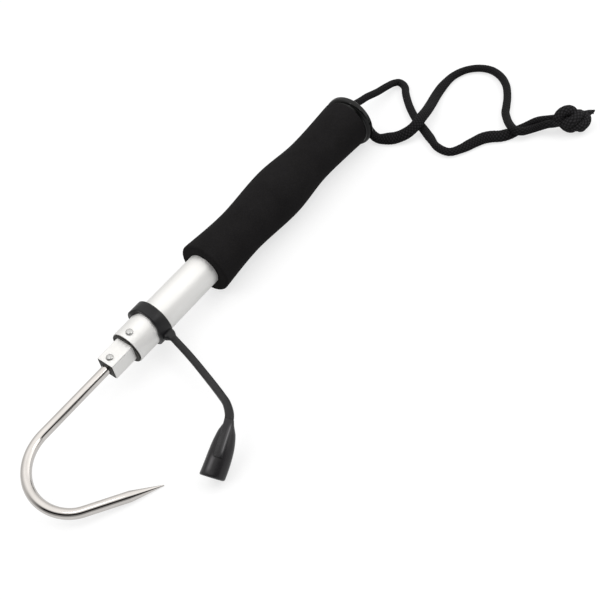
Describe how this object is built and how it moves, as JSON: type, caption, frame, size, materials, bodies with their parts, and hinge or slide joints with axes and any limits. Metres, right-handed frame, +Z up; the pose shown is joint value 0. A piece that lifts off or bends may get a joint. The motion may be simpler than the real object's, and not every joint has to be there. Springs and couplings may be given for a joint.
{
  "type": "telescopic fishing gaff",
  "caption": "Telescopic fishing gaff, pushed in: round tube with foam grip, square inner tube with steel hook, rubber point guard and wrist cord.",
  "frame": {"origin": "middle of the base: the floor under the middle of the gaff without its cord", "axes": "+X along the shaft from the hook towards the butt, +Z up from the floor, the hook and the point guard bend towards -Y"},
  "size_m": [0.4371, 0.1738, 0.039],
  "materials": {
    "satin_aluminium": "satin",
    "polished_steel": "polished",
    "rivet_metal": "satin",
    "black_plastic": "gloss",
    "dark_plastic": "matte",
    "black_rubber": "satin",
    "black_foam": "matte",
    "black_cord": "braided"
  },
  "bodies": {
    "handle": {"outer_tube": "satin_aluminium", "front_bushing": "dark_plastic", "bushing_rivet_top": "rivet_metal", "bushing_rivet_bottom": "rivet_metal", "grip": "black_foam", "butt_cap": "black_plastic", "lanyard_strand_a": "black_cord", "lanyard_strand_b": "black_cord", "lanyard_bridge": "black_cord", "lanyard_knot": "black_cord"},
    "inner_section": {"inner_tube": "satin_aluminium", "hook_plug": "dark_plastic", "hook": "polished_steel", "hook_rivet": "rivet_metal", "rear_guide": "black_plastic", "guide_pin": "rivet_metal", "friction_ring": "black_rubber"},
    "guard_band": {"guard_ring": "black_rubber"},
    "guard_tail": {"guard_strap": "black_rubber", "guard_cap": "black_rubber"}
  },
  "joints": [
    {"name": "telescope", "type": "slide", "parent": "handle", "child": "inner_section", "axis": [-1, 0, 0], "range_m": [0, 0.165]},
    {"name": "guard_slide", "type": "slide", "parent": "handle", "child": "guard_band", "axis": [1, 0, 0], "range_m": [-0.0086, 0.0448]},
    {"name": "guard_turn", "type": "hinge", "parent": "guard_band", "child": "guard_tail", "pos_m": [-0.05046, 0.04271, 0.0195], "axis": [1, 0, 0], "continuous": true}
  ]
}
